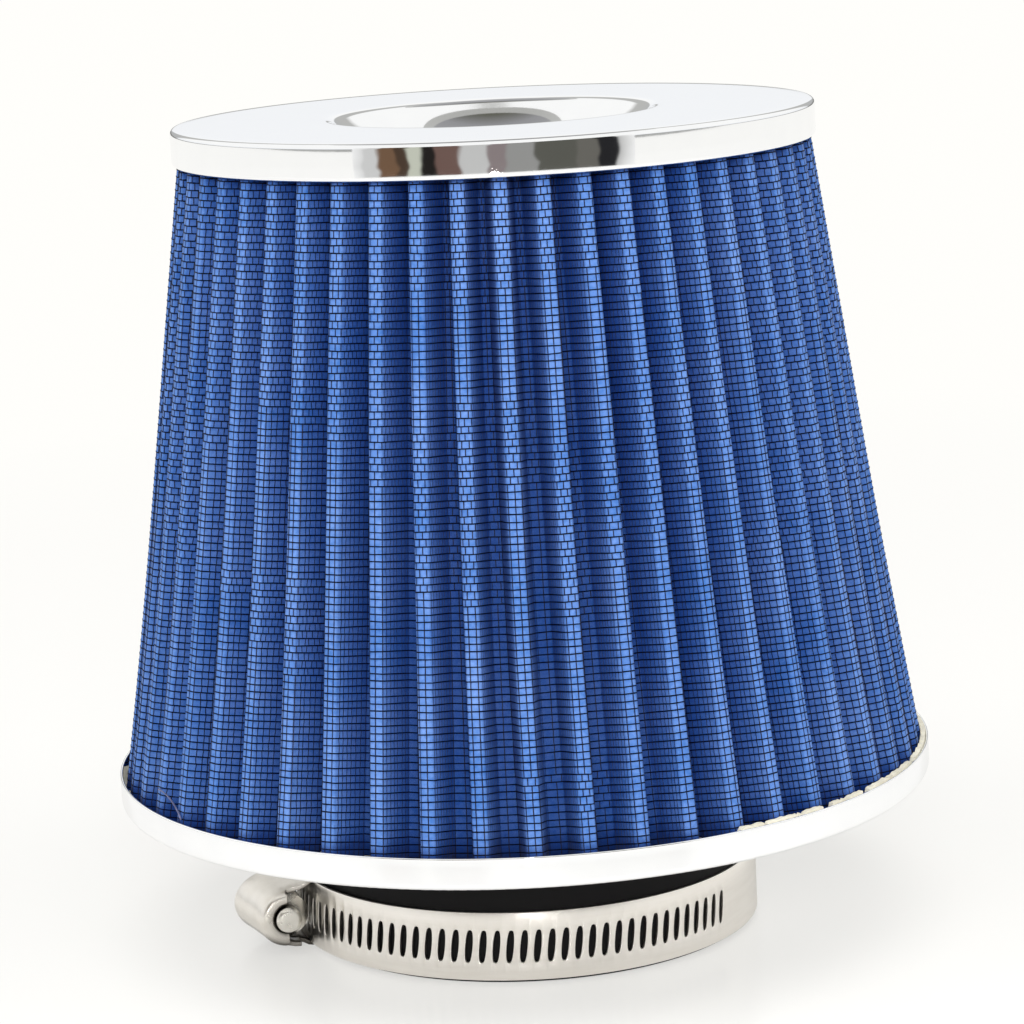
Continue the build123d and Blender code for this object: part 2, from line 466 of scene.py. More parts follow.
def on_line(line: Sequence[Vector], stretch: int, share: float) -> Vector:
    """Point at a share of the way along a numbered stretch of a closed line."""
    return line[stretch].lerp(line[(stretch + 1) % len(line)], share)


def wave(*spot: float) -> float:
    """Smooth noise at a spot, from -1 to 1."""
    return noise.noise(Vector(spot))


def held(value: float) -> float:
    """A value held between 0 and 1."""
    return max(0.0, min(1.0, value))


def turned(outline: Sequence[Span], steps: int, closed: bool, bm: Shape | None = None) -> Shape:
    """Spin an outline of (radius, height) points round Z.

    Args:
        outline: the points in order.
        steps: number of steps of the spin.
        closed: whether the last point joins the first.
        bm: the bmesh to add it to, or None for a new one.

    Returns:
        The bmesh with the turned surface.
    """
    bm = bm or bmesh.new()
    verts, edges = chain(bm, [(radius, 0.0, height) for radius, height in outline], closed)
    spun(bm, [*verts, *edges], FULL_TURN, steps, merge=True)
    bmesh.ops.remove_doubles(bm, verts=bm.verts[:], dist=1e-7)
    bmesh.ops.recalc_face_normals(bm, faces=bm.faces[:])
    return bm


def wires(name: str, lines: Sequence[Sequence[Vector]], radius: float, closed: bool) -> Thing:
    """Round wires along lines of points.

    Args:
        name: name of the object.
        lines: the centre line of each wire.
        radius: radius of the wires.
        closed: whether each line runs back to its start.

    Returns:
        A curve object with one spline for each wire.
    """
    curve = bpy.data.curves.new(name, "CURVE")
    curve.dimensions = "3D"
    curve.bevel_depth = radius
    curve.bevel_resolution = 0
    curve.use_fill_caps = not closed
    for line in lines:
        spline = curve.splines.new("POLY")
        spline.points.add(len(line) - 1)
        spline.points.foreach_set("co", [value for point in line for value in (*point, 1.0)])
        spline.use_cyclic_u = closed
    return linked(name, curve)


@dataclass
class EndCap:
    """Chromed cap: a short skirt, a flat rim and a dished middle, pressed from one sheet."""

    sheet: float = 0.6 * MM
    skirt: float = 6.6 * MM
    corner: float = 0.9 * MM
    hem: float = 0.8 * MM
    bowl_mouth: float = 62 * MM
    bowl_depth: float = 14 * MM
    bowl_lip: float = 2.4 * MM
    steps: int = 288

    def outline(self) -> list[Span]:
        """Outer face of the cap.

        Returns:
            Its (radius, height) points from the skirt's edge to the axis.
        """
        _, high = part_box("end_cap")
        outer, top = high.x, high.z
        foot, shoulder = top - self.skirt, top - self.corner
        rim, mouth = outer - self.corner, self.bowl_mouth / 2
        bowl = (mouth**2 + self.bowl_depth**2) / (2 * self.bowl_depth) - self.bowl_lip
        centre = (0.0, top - self.bowl_depth + bowl)
        lip = (mouth, top - self.bowl_lip)
        lean = math.degrees(math.atan2(centre[1] - lip[1], -mouth))
        return [
            *arc((outer - self.hem, foot + self.hem), self.hem, -75, 0, 6),
            (outer, (foot + shoulder) / 2),
            *arc((rim, shoulder), self.corner, 0, 90, 8),
            *[(rim - (rim - mouth) * part / 12, top) for part in range(1, 12)],
            *arc(lip, self.bowl_lip, 90, lean, 10),
            *arc(centre, bowl, lean - 180, -90, 28)[1:],
        ]

    def build(self) -> None:
        """Turn the outline and give it the thickness of the sheet."""
        bm = turned(self.outline(), self.steps, closed=False)
        inside = Vector((0.0, 0.0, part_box("end_cap")[0].z - self.bowl_mouth))
        face_away(bm, lambda face: face.calc_center_median() - inside)
        piece = mesh_object("chrome_cap", bm)
        thicken(piece, self.sheet, -1.0)
        place(piece, CHROME, Slot.CHROME, "end_cap")


@dataclass
class BasePan:
    """Chromed base pan: a flat floor and a low upright rim with rounded edges."""

    sheet: float = 0.5 * MM
    corner: float = 1.4 * MM
    seat_radius: float = 42.6 * MM
    steps: int = 320

    def build(self) -> None:
        """Turn the closed outline of the pan."""
        low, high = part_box("base_ring")
        outer, foot, top = high.x, low.z, high.z
        inner, edge, bend = outer - self.sheet, self.sheet / 2, outer - self.corner
        outline = [
            *[(self.seat_radius + (bend - self.seat_radius) * part / 6, foot) for part in range(6)],
            *arc((bend, foot + self.corner), self.corner, -90, 0, 8),
            (outer, foot + 0.6 * (top - foot)),
            *arc((outer - edge, top - edge), edge, 0, 180, 8),
            (inner, foot + self.sheet + self.corner / 2),
            (inner - self.corner / 2, foot + self.sheet),
            (self.seat_radius, foot + self.sheet),
        ]
        piece = mesh_object("chrome_pan", turned(outline, self.steps, closed=True))
        place(piece, CHROME, Slot.CHROME, "base_ring")


@dataclass
class InletNeck:
    """Rubber neck: a round-lipped tube with a flange inside the pan."""

    bore: float = 38 * MM
    wall: float = 4.5 * MM
    flange_depth: float = 2.4 * MM
    lip: float = 0.8 * MM
    steps: int = 192

    def build(self) -> None:
        """Turn the closed outline of the neck."""
        low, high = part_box("inlet_neck")
        flange, top = high.x, high.z
        outer = self.bore + self.wall
        seat = top - self.flange_depth
        outline = [
            *arc((self.bore + self.lip, low.z + self.lip), self.lip, 180, 270, 6),
            *arc((outer - self.lip, low.z + self.lip), self.lip, 270, 360, 6),
            (outer, seat),
            (flange, seat),
            *arc((flange - self.lip, top - self.lip), self.lip, 0, 90, 6),
            *arc((self.bore + self.lip, top - self.lip), self.lip, 90, 180, 6),
        ]
        piece = mesh_object("rubber_neck", turned(outline, self.steps, closed=True))
        place(piece, RUBBER, Slot.RUBBER, "inlet_neck")


@dataclass
class Potting:
    """Cream potting in the pan, with an uneven top that squeezes out over the rim on one side."""

    inner: float = 48.7 * MM
    rim: float = 0.52 * MM
    ripple: float = 0.1 * MM
    ripple_waves: float = 300.0
    lump_waves: Span = (0.36, 1.6)
    lump_share: float = 0.22
    lump_lift: float = 0.3
    lump_gain: float = 7.0
    level: float = 0.93
    level_sway: float = 0.12
    level_waves: float = 0.8
    fade: float = 2.0
    crest: float = 0.6 * MM
    crest_width: float = 1.5 * MM
    crest_gain: float = 3.0
    crest_rows: tuple[float, ...] = (0.25, 0.4, 0.6, 0.8, 1.0)
    squeeze_from: float = -63.0
    squeeze_to: float = 8.0
    steps: int = 1440
    rings: int = 8

    def rise(self, angle: float, height: float) -> float:
        """How far the potting stands up at the pan's wall.

        Args:
            angle: angle about the axis in degrees.
            height: rise that reaches over the rim of the pan.

        Returns:
            The rise in metres.
        """
        inside = min(angle - self.squeeze_from, self.squeeze_to - angle)
        wide, narrow = (angle * waves for waves in self.lump_waves)
        lump = wave(wide, 4.0, 0.0) + self.lump_share * wave(narrow, 9.0, 0.0)
        level = self.level + self.level_sway * wave(angle * self.level_waves, 1.0, 5.0)
        return height * held((lump + self.lump_lift) * self.lump_gain) * level * held(inside / self.fade)

    def build(self) -> None:
        """Turn the outline of the potting, then raise its top."""
        low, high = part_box("base_potting")
        outer, foot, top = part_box("base_ring")[1].x - self.rim, low.z, high.z
        wall = outer - self.crest_width
        across = [self.inner + (wall - self.inner) * ring / self.rings for ring in range(self.rings + 1)]
        across += [wall + self.crest_width * share for share in self.crest_rows]
        outline = [(self.inner, foot), *[(radius, top) for radius in across], (outer, foot)]
        bm = turned(outline, self.steps, closed=True)
        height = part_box("base_ring")[1].z + self.crest - top
        for vert in bm.verts:
            if vert.co.z > (foot + top) / 2:
                angle = math.degrees(math.atan2(vert.co.y, vert.co.x))
                near = held((vert.co.xy.length - wall) / self.crest_width * self.crest_gain)
                vert.co.z += self.rise(angle, height) * near
                vert.co.z -= self.ripple * (0.5 + 0.5 * wave(*vert.co * self.ripple_waves))
        place(mesh_object("base_potting_bed", bm, 60.0), CREAM, Slot.POTTING, "base_potting")


@dataclass
class PleatPack:
    """Pleated pack: blue cloth between two wire screens, folded together and a little uneven."""

    count: int = 51
    depth: float = 9 * MM
    ridge_width: float = 2.74 * MM
    flank_spread: float = 1.2 * MM
    phase: float = -89.5
    rim_inset: float = 1.8 * MM
    skirt: float = 6.6 * MM
    skirt_inset: float = 0.9 * MM
    flare: float = 0.9 * MM
    flare_reach: float = 60 * MM
    foot_fall: float = 0.25
    top_fall: float = 0.09
    fold_round: float = 0.38 * MM
    fold_share: float = 0.7
    valley_round: float = 0.2 * MM
    wander: float = 0.7
    lean: float = 0.7
    bow: float = 0.5
    drift: float = 2.6
    quirk_step: float = 5.5
    cell: float = 1.26 * MM
    wire: float = 0.125 * MM
    upright: float = 0.08 * MM
    sag: float = 0.18 * MM
    sag_waves: Span = (160.0, 0.7)
    patch_waves: Span = (0.37, 0.05)
    stray: float = 0.35
    brick: float = 0.5
    slip: float = 0.02
    square_below: float = 0.05
    square_gain: float = 1.0
    media_inset: float = 0.11 * MM
    media_sheet: float = 0.6 * MM
    inner_inset: float = 0.97 * MM
    inner_cell: float = 2.52 * MM
    inner_stretches: int = 6
    cloth_rows: int = 24
    seed: int = 11
    quirks: list[Triple] = field(default_factory=list)

    def __post_init__(self) -> None:
        """Read the pack's levels and taper from the frame and draw each pleat's small faults."""
        low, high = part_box("outer_mesh")
        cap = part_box("end_cap")[1]
        self.bottom, self.top = low.z, high.z
        self.foot_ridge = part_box("base_ring")[1].x - self.rim_inset
        self.taper = (self.foot_ridge - cap.x + self.skirt_inset) / (cap.z - self.skirt - self.bottom)
        for pleat in range(self.count):
            turn = FULL_TURN * pleat / self.count
            spot = (self.drift * math.cos(turn), self.drift * math.sin(turn))
            self.quirks.append(tuple(wave(*spot, self.seed + self.quirk_step * fault) for fault in range(3)))

    def angle(self, pleat: int, part: float) -> float:
        """Angle of a pleat's ridge about the axis.

        Args:
            pleat: number of the pleat.
            part: share of the pack's height.

        Returns:
            The angle in radians.
        """
        shift, twist, swell = self.quirks[pleat]
        fault = self.wander * shift + self.lean * twist * (part - 0.5)
        fault += self.bow * swell * math.sin(math.pi * part)
        return math.radians(self.phase + 360 * pleat / self.count + fault)

    def ridge(self, height: float) -> float:
        """Radius of the ridges at a height, with the flare of their feet."""
        above = height - self.bottom
        return self.foot_ridge - self.taper * above + self.flare * max(0.0, 1 - above / self.flare_reach) ** 2

    def section(self, part: float, inset: float, squared: bool = False) -> list[Vector]:
        """The folded line round the pack at a share of its height.

        Args:
            part: share of the height, from 0 at the foot to 1 at the cap.
            inset: how far the line lies in from the outer face of the pack.
            squared: whether the line falls towards the valleys, as a wire does, and isn't level.

        Returns:
            Eight points for each pleat, in order round the axis.
        """
        height = self.bottom + (self.top - self.bottom) * part
        slope = self.flank_spread / self.depth
        half = self.ridge_width / 2 + slope * inset - inset * math.hypot(1, slope)
        foot = half + self.flank_spread
        bend = min(self.fold_round, self.fold_share * half)
        fold = [
            (self.depth, foot + self.valley_round),
            (self.depth - self.valley_round, foot - slope * self.valley_round),
            (bend, half + slope * bend),
            (0.0, half - bend),
        ]
        line = [(back, -side) for back, side in fold] + fold[::-1]
        fall = self.foot_fall + (self.top_fall - self.foot_fall) * part if squared else 0.0
        points = []
        for pleat in range(self.count):
            across = heading(self.angle(pleat, part))
            along = UP.cross(across)
            for back, side in line:
                level = max(self.bottom, height - back * fall)
                points.append(across * (self.ridge(level) - inset - back) + along * side + UP * level)
        return points

    def warp_places(self, inset: float, pitch: float, shift: float = 0.0) -> list[tuple[int, float]]:
        """Where upright wires stand along the folded line, about evenly spaced at half height.

        Args:
            inset: how far the wires lie in from the outer face of the pack.
            pitch: spacing of the wires.
            shift: share of a pitch by which they are moved along.

        Returns:
            For each wire, the number of a stretch of the line and the share of the way along it.
        """
        line = self.section(0.5, inset)
        lengths = [way.length for way in steps_round(line)]
        total = round(sum(lengths) / pitch)
        step = sum(lengths) / total
        draw = random.Random(self.seed)
        places, stretch, passed = [], 0, 0.0
        for wire in range(total):
            spot = (wire + shift + self.stray * draw.random()) * step
            while passed + lengths[stretch] < spot and stretch + 1 < len(line):
                passed += lengths[stretch]
                stretch += 1
            places.append((stretch, min(1.0, (spot - passed) / lengths[stretch])))
        return places

    def row_lines(self, inset: float, pitch: float) -> list[list[Vector]]:
        """Folded lines of the rows of a screen, at an inset and about a pitch apart."""
        rows = round((self.top - self.bottom) / pitch)
        return [self.section((row + 0.5) / rows, inset, squared=True) for row in range(rows + 1)]

    def bits(self, inset: float, pitch: float) -> Thing:
        """Bits of the outer upright wires that show between the rows, shifted in every other row.

        Args:
            inset: how far the bits lie in from the outer face of the pack.
            pitch: spacing of the bits along a row, and of the rows.

        Returns:
            The object of all bits, as narrow straps.
        """
        lines = self.row_lines(inset, pitch)
        rows = len(lines) - 1
        places = [self.warp_places(inset, pitch, shift) for shift in (0.0, self.brick)]
        draw = random.Random(self.seed)
        per_pleat = len(lines[0]) // self.count
        bm = bmesh.new()
        owner = bm.verts.layers.int.new("stretch")
        for row in range(rows):
            for shifted, spots in enumerate(places):
                for stretch, share in spots:
                    patch = wave(stretch // per_pleat * self.patch_waves[0], row * self.patch_waves[1], 3.0)
                    patch += self.square_gain * (row / rows - 0.5)
                    if shifted != (row % 2 if patch > self.square_below else 0):
                        continue
                    slip = draw.uniform(-self.slip, self.slip)
                    spots_up = ((lines[row], share), (lines[row + 1], held(share + slip)))
                    for end in chain(bm, [on_line(line, stretch, at) for line, at in spots_up])[0]:
                        end[owner] = stretch
        along = [way.normalized() for way in steps_round(lines[rows // 2])]
        verts, _ = extruded(bm, bm.edges[:])
        for vert in verts:
            vert.co += along[vert[owner]] * 2 * self.upright
        face_away(bm)
        return mesh_object("screen_uprights", bm)

    def weft(self, inset: float, pitch: float) -> list[list[Vector]]:
        """Wires that run round the pack, row above row.

        Args:
            inset: how far the wires lie in from the outer face of the pack.
            pitch: spacing of the rows.

        Returns:
            The centre line of each row.
        """
        lines = self.row_lines(inset, pitch)
        for row, line in enumerate(lines):
            for point in line:
                point.z += self.sag * wave(*point.xy * self.sag_waves[0], row * self.sag_waves[1])
        return lines

    def warp(self, inset: float, pitch: float, rows: int) -> list[list[Vector]]:
        """Centre lines of wires that run up the pack, each in a number of straight stretches."""
        lines = [self.section(row / rows, inset) for row in range(rows + 1)]
        return [[on_line(line, *spot) for line in lines] for spot in self.warp_places(inset, pitch)]

    def cloth(self) -> Thing:
        """The folded cloth, extruded row by row from its foot and given its thickness.

        Returns:
            The cloth object.
        """
        bm = bmesh.new()
        order = bm.verts.layers.int.new("order")
        verts, edges = chain(bm, self.section(0.0, self.media_inset), closed=True)
        for number, vert in enumerate(verts):
            vert[order] = number
        for row in range(1, self.cloth_rows + 1):
            level = self.section(row / self.cloth_rows, self.media_inset)
            upper, edges = extruded(bm, edges)
            for vert in upper:
                vert.co = level[vert[order]]
        bm.verts.layers.int.remove(order)
        face_away(bm)
        piece = mesh_object("pleated_cloth", bm, 60.0)
        thicken(piece, self.media_sheet, -1.0)
        return piece

    def cut(self) -> tuple[Span, float]:
        """Size of the cloth before it was folded.

        Returns:
            Its greatest width and its length, and its area.
        """
        lines = [self.section(part, self.media_inset) for part in (0.0, 1.0)]
        girths = [sum(way.length for way in steps_round(line)) for line in lines]
        length = (self.top - self.bottom) * math.hypot(1, self.taper)
        return (max(girths), length), sum(girths) / 2 * length

    def build(self) -> None:
        """Build the cloth and both screens."""
        cloth = place(self.cloth(), CLOTH, Slot.MEDIA, "filter_media")
        flat, area = self.cut()
        rows = self.weft(self.wire, self.cell)
        middle = len(rows) // 2
        for name, part in (("screen_rows_lower", rows[:middle]), ("screen_rows_upper", rows[middle:])):
            place(wires(name, part, self.wire, closed=True), WIRE, Slot.SCREEN, "outer_mesh")
        place(self.bits(self.wire / 2, self.cell), BROWN_WIRE, Slot.SCREEN, "outer_mesh")
        inside = self.inner_inset + self.wire
        rows = self.weft(inside, self.inner_cell)
        place(wires("inner_rows", rows, self.wire, closed=True), WIRE, Slot.SCREEN, "inner_mesh")
        lines = self.warp(inside, self.inner_cell, self.inner_stretches)
        place(wires("inner_uprights", lines, self.wire, closed=False), BROWN_WIRE, Slot.SCREEN, "inner_mesh")


@dataclass
class ClampBand:
    """Slotted stainless strip that runs round the neck, lifts and passes over its own fixed end."""

    radius: float = 42.55 * MM
    sheet: float = 0.65 * MM
    lift: float = 2.2 * MM
    lift_start: float = -103.0
    tail_end: float = -183.0
    tail_margin: float = 3.0
    tongue_start: float = 183.0
    tongue_end: float = 198.0
    tongue_share: float = 0.74
    tongue_rows: tuple[float, ...] = (0.03, 0.25, 0.5, 0.75, 1.0)
    plain_step: float = 3.0
    slot_start: float = -36.0
    slot_length: float = 6.2 * MM
    slot_width: float = 1.3 * MM
    slot_pitch: float = 2.5 * MM
    slot_lean: float = 7.0
    slot_point: float = 0.6
    cell_rows: tuple[float, ...] = (-1, -0.62, -0.44, -0.22, 0, 0.22, 0.44, 0.62, 1)
    edge: float = 0.1 * MM

    def __post_init__(self) -> None:
        """Read the strip's level and width from the frame."""
        low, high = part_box("clamp_band")
        self.middle, self.half_width = (low.z + high.z) / 2, (high.z - low.z) / 2

    def along(self, angle: float) -> float:
        """Length along the outer face of the strip to an angle in degrees."""
        return math.radians(angle) * (self.radius + self.sheet)

    def cell(self, bm: Shape, middle: float) -> None:
        """Add the flat cell of one slot, its round-ended opening bridged to the cell's frame.

        Args:
            bm: the bmesh of the strip.
            middle: where the slot lies along the strip.
        """
        reach, bend = self.slot_length / 2, self.slot_width / 2
        turns = [math.radians(angle) for angle in range(-72, 73, 18)]
        side = [(bend * math.cos(turn) ** self.slot_point, reach * math.sin(turn)) for turn in turns]
        rim = [(self.slot_pitch / 2, self.half_width * share) for share in self.cell_rows]
        lean = Matrix.Rotation(-math.radians(self.slot_lean), 2)
        edges = []
        for half, tip, turn in ((side, reach, lean), (rim, self.half_width, Matrix.Identity(2))):
            loop = [*half, (0.0, tip), *[(-across, level) for across, level in half[::-1]], (0.0, -tip)]
            spots = [turn @ Vector(point) + Vector((middle, 0.0)) for point in loop]
            edges += chain(bm, [spot.to_3d() for spot in spots], closed=True)[1]
        bmesh.ops.bridge_loops(bm, edges=edges)

    def run(self, bm: Shape, start: float, stops: Sequence[Span]) -> None:
        """Extrude the plain strip from the cut end of the slotted stretch.

        Args:
            bm: the bmesh of the strip.
            start: where the cut end lies along the strip.
            stops: where each further row of vertices lies, and its share of the strip's width.
        """
        edges = [edge for edge in bm.edges if all(abs(vert.co.x - start) < 1e-7 for vert in edge.verts)]
        share = 1.0
        for place_along, new_share in stops:
            verts, edges = extruded(bm, edges)
            for vert in verts:
                vert.co.x = place_along
                vert.co.y *= new_share / share
            share = new_share

    def bent(self, along: float, up: float) -> Vector:
        """Place on the strip's inner face of a point of the flat strip.

        Args:
            along: length along the strip.
            up: height above its middle line.

        Returns:
            The place in the frame.
        """
        angle, start = along / (self.radius + self.sheet), math.radians(self.lift_start)
        lift = (heading(min(angle, start)) - heading(start)) * self.lift
        return heading(angle) * self.radius + lift + UP * (self.middle + up)

    def build(self) -> None:
        """Lay the slotted strip out flat, bend it round the neck and give it its thickness."""
        bm = bmesh.new()
        first = self.along(self.slot_start)
        slots = int((first - self.along(self.tail_end + self.tail_margin)) / self.slot_pitch) + 1
        for slot in range(slots):
            self.cell(bm, first - slot * self.slot_pitch)
        bmesh.ops.remove_doubles(bm, verts=bm.verts[:], dist=1e-6)
        cut = first + self.slot_pitch / 2
        length = self.along(self.tongue_start) - cut
        rows = math.ceil(length / self.along(self.plain_step))
        plain = [(cut + length * row / rows, 1.0) for row in range(1, rows + 1)]
        tongue = [
            (self.along(self.tongue_start + (self.tongue_end - self.tongue_start) * share), self.tongue_share)
            for share in self.tongue_rows
        ]
        self.run(bm, cut, plain + tongue)
        self.run(bm, cut - slots * self.slot_pitch, [(self.along(self.tail_end), 1.0)])
        layer = bm.loops.layers.uv.new("strip")
        for face in bm.faces:
            for loop in face.loops:
                loop[layer].uv = loop.vert.co.xy
        for vert in bm.verts:
            vert.co = self.bent(vert.co.x, vert.co.y)
        face_away(bm)
        piece = mesh_object("slotted_band", bm)
        thicken(piece, self.sheet, 1.0, self.edge)
        place(piece, STAINLESS, Slot.STAINLESS, "clamp_band")


@dataclass
class WormGear:
    """Worm housing and its screw, built along the screw's axis and then set on the band."""

    sheet: float = 0.8 * MM
    edge: float = 0.22 * MM
    swell: float = 0.26
    half_turn_steps: int = 28
    core: float = 2.75 * MM
    pitch: float = 2.5 * MM
    thread_half: float = 5.4 * MM
    tip_radius: float = 2.4 * MM
    tip_end: float = -8.2 * MM
    tip_dome: Span = (0.15 * MM, 0.1 * MM)
    worm_half: float = 6.0 * MM
    head_start: float = 7.6 * MM
    head_end: float = 12.6 * MM
    head_width: float = 7.0 * MM
    head_bevel: float = 0.5 * MM
    slot_half: float = 0.6 * MM
    slot_depth: float = 1.8 * MM
    steps: int = 48
    chamfer: float = 0.4 * MM
    barrel: tuple[Span, ...] = (
        (2.62, -7.0), (3.2, -7.3), (4.5, -7.3), (5.1, -6.95), (5.4, -6.2), (5.5, -3.0),
        (5.65, 0.0), (5.8, 3.0), (6.0, 6.0), (5.9, 6.7), (5.3, 7.1), (3.5, 7.1),
    )
    leg: tuple[Span, ...] = (
        (-1.2, 5.75), (-2.4, 5.85), (-3.5, 6.25), (-4.4, 6.8),
        (-5.2, 6.95), (-6.1, 6.95), (-6.3, 6.7), (-6.3, 5.2),
    )
    leg_runs: tuple[tuple[int, float, float, int], ...] = (
        (-1, -3.5, 6.5, 8), (1, -6.5, 6.5, 8), (-1, -6.5, -2.5, 2),
    )
    thread_shape: tuple[Span, ...] = ((2.65, -0.95), (4.3, -0.3), (4.3, 0.3), (2.65, 0.95))

    def seat(self, joint: dict[str, object]) -> Matrix:
        """Matrix to the frame from the screw joint's own axes, X outwards and Z along the screw."""
        axis = Vector(joint["axis"]).normalized()
        return Matrix.Translation(joint["pos_m"]) @ Matrix((UP.cross(axis), UP, axis)).transposed().to_4x4()

    @staticmethod
    def on_leg(spot: Vector, side: int, start: float, end: float) -> bool:
        """Whether a point lies on one side's edge of the barrel, between two places along it."""
        return abs(spot.x) < 1e-6 and spot.y * side > 0 and start * MM < spot.z < end * MM

    def housing(self, seat: Matrix) -> Thing:
        """The pressed housing: a half barrel with drawn-in ends, on two flaring legs.

        Args:
            seat: matrix to the frame.

        Returns:
            The housing object.
        """
        bm = bmesh.new()
        verts, edges = chain(bm, [(0.0, -radius * MM, along * MM) for radius, along in self.barrel])
        spun(bm, [*verts, *edges], math.pi, self.half_turn_steps)
        for side, start, end, steps in self.leg_runs:
            ends = (side, start, end)
            edges = [edge for edge in bm.edges if all(self.on_leg(vert.co, *ends) for vert in edge.verts)]
            for out, across in self.leg[:steps]:
                verts, edges = extruded(bm, edges)
                for vert in verts:
                    vert.co.x, vert.co.y = out * MM, side * across * MM
        for vert in bm.verts:
            if vert.co.x > 0:
                vert.co.x *= 1 + self.swell * (vert.co.z / self.worm_half + 1) / 2
        bmesh.ops.transform(bm, matrix=seat, verts=bm.verts[:])
        middle = seat.translation
        face_away(bm, lambda face: face.calc_center_median() - middle)
        piece = mesh_object("worm_housing", bm, 50.0)
        thicken(piece, self.sheet, -1.0, self.edge)
        return piece

    def shaft(self, bm: Shape) -> None:
        """Turn the screw's shaft with its tip and core.

        Args:
            bm: the bmesh of the screw.
        """
        outline = [
            (0.0, self.tip_end - self.tip_dome[0]),
            (self.tip_radius - 2 * self.chamfer, self.tip_end - self.tip_dome[1]),
            (self.tip_radius - self.chamfer, self.tip_end),
            (self.tip_radius, self.tip_end + self.chamfer),
            (self.tip_radius, -self.worm_half),
            (self.core, -self.worm_half),
            (self.core, self.head_start),
            (0.0, self.head_start),
        ]
        turned(outline, self.steps, closed=False, bm=bm)

    def thread(self, bm: Shape) -> None:
        """Sweep the worm's thread along the core.

        Args:
            bm: the bmesh of the screw.
        """
        turns = 2 * self.thread_half / self.pitch
        steps = round(turns * self.steps)
        points = [(out * MM, 0.0, along * MM - self.thread_half) for out, along in self.thread_shape]
        face = bm.faces.new([bm.verts.new(point) for point in points])
        spun(bm, [face], FULL_TURN * turns, steps, 2 * self.thread_half / steps)

    def head(self) -> Shape:
        """The hexagon head with its driver slot.

        Returns:
            A bmesh of the head.
        """
        part = bmesh.new()
        lift = Matrix.Translation((0.0, 0.0, self.head_start))
        reach = self.head_width / math.sqrt(3)
        bmesh.ops.create_circle(part, cap_ends=True, radius=reach, segments=6, matrix=lift)
        grown = bmesh.ops.extrude_face_region(part, geom=part.faces[:])["geom"]
        verts = [item for item in grown if isinstance(item, Vert)]
        bmesh.ops.translate(part, verts=verts, vec=(0.0, 0.0, self.head_end - self.head_start))
        rim = [edge for edge in part.edges if all(vert.co.z > self.head_end - 1e-6 for vert in edge.verts)]
        bevel = {"offset": self.head_bevel, "segments": 2, "profile": 0.5}
        bmesh.ops.bevel(part, geom=rim, affect="EDGES", material=-1, **bevel)
        floor = self.head_end - self.slot_depth
        cuts = [((0.0, side * self.slot_half, 0.0), (0.0, 1.0, 0.0)) for side in (-1, 1)]
        for spot, normal in [*cuts, ((0.0, 0.0, floor), (0.0, 0.0, 1.0))]:
            everything = part.verts[:] + part.edges[:] + part.faces[:]
            bmesh.ops.bisect_plane(part, geom=everything, dist=1e-7, plane_co=spot, plane_no=normal)
        gone = [
            face
            for face in part.faces
            if abs(face.calc_center_median().y) < self.slot_half and face.calc_center_median().z > floor
        ]
        bmesh.ops.delete(part, geom=gone, context="FACES")
        bmesh.ops.holes_fill(part, edges=[edge for edge in part.edges if edge.is_boundary])
        return part

    def build(self, joint: dict[str, object]) -> None:
        """Build the housing and the screw.

        Args:
            joint: the joint of the screw.
        """
        seat = self.seat(joint)
        place(self.housing(seat), PRESSED, Slot.STAINLESS, "clamp_housing")
        bm = self.head()
        self.shaft(bm)
        self.thread(bm)
        bmesh.ops.transform(bm, matrix=seat, verts=bm.verts[:])
        bmesh.ops.recalc_face_normals(bm, faces=bm.faces[:])
        place(mesh_object("worm_screw", bm), STEEL, Slot.STEEL, "clamp_screw", body=SCREW)


@dataclass
class WireEnd:
    """Stiff bent end of a screen wire that stands off the foot of the pleats."""

    radius: float = 0.17 * MM
    start: Triple = (-152.4, 0.3, 3.8)
    middle: Triple = (-147.0, 0.9, 4.2)
    end: Triple = (-145.2, 0.2, 0.2)
    steps: int = 12

    def build(self, pack: PleatPack) -> None:
        """Run the wire end along a bent line over the pleats.

        Args:
            pack: the pleats that it came from.
        """
        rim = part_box("base_ring")[1].z
        start, middle, end = Vector(self.start), Vector(self.middle), Vector(self.end)
        points = []
        for step in range(self.steps + 1):
            share = step / self.steps
            angle, off, above = start.lerp(middle, share).lerp(middle.lerp(end, share), share)
            height = rim + above * MM
            points.append(heading(math.radians(angle)) * (pack.ridge(height) + off * MM) + UP * height)
        place(wires("bent_wire_end", [points], self.radius, closed=False), PALE_WIRE, Slot.SCREEN)


@dataclass(frozen=True)
class Lamp:
    """A soft square lamp: its name, its place, the side of the square and its power in watts."""

    name: str
    at: Triple
    size: float
    power: float

    def hang(self, target: Vector) -> None:
        """Hang the lamp out of reflections and turn it to a target.

        Args:
            target: the point that it looks at.
        """
        data = bpy.data.lights.new(self.name, "AREA")
        data.shape = "SQUARE"
        data.size = self.size
        data.energy = self.power
        made = linked(self.name, data)
        made.location = self.at
        made.rotation_euler = (target - made.location).to_track_quat("-Z", "Y").to_euler()
        made.visible_glossy = False


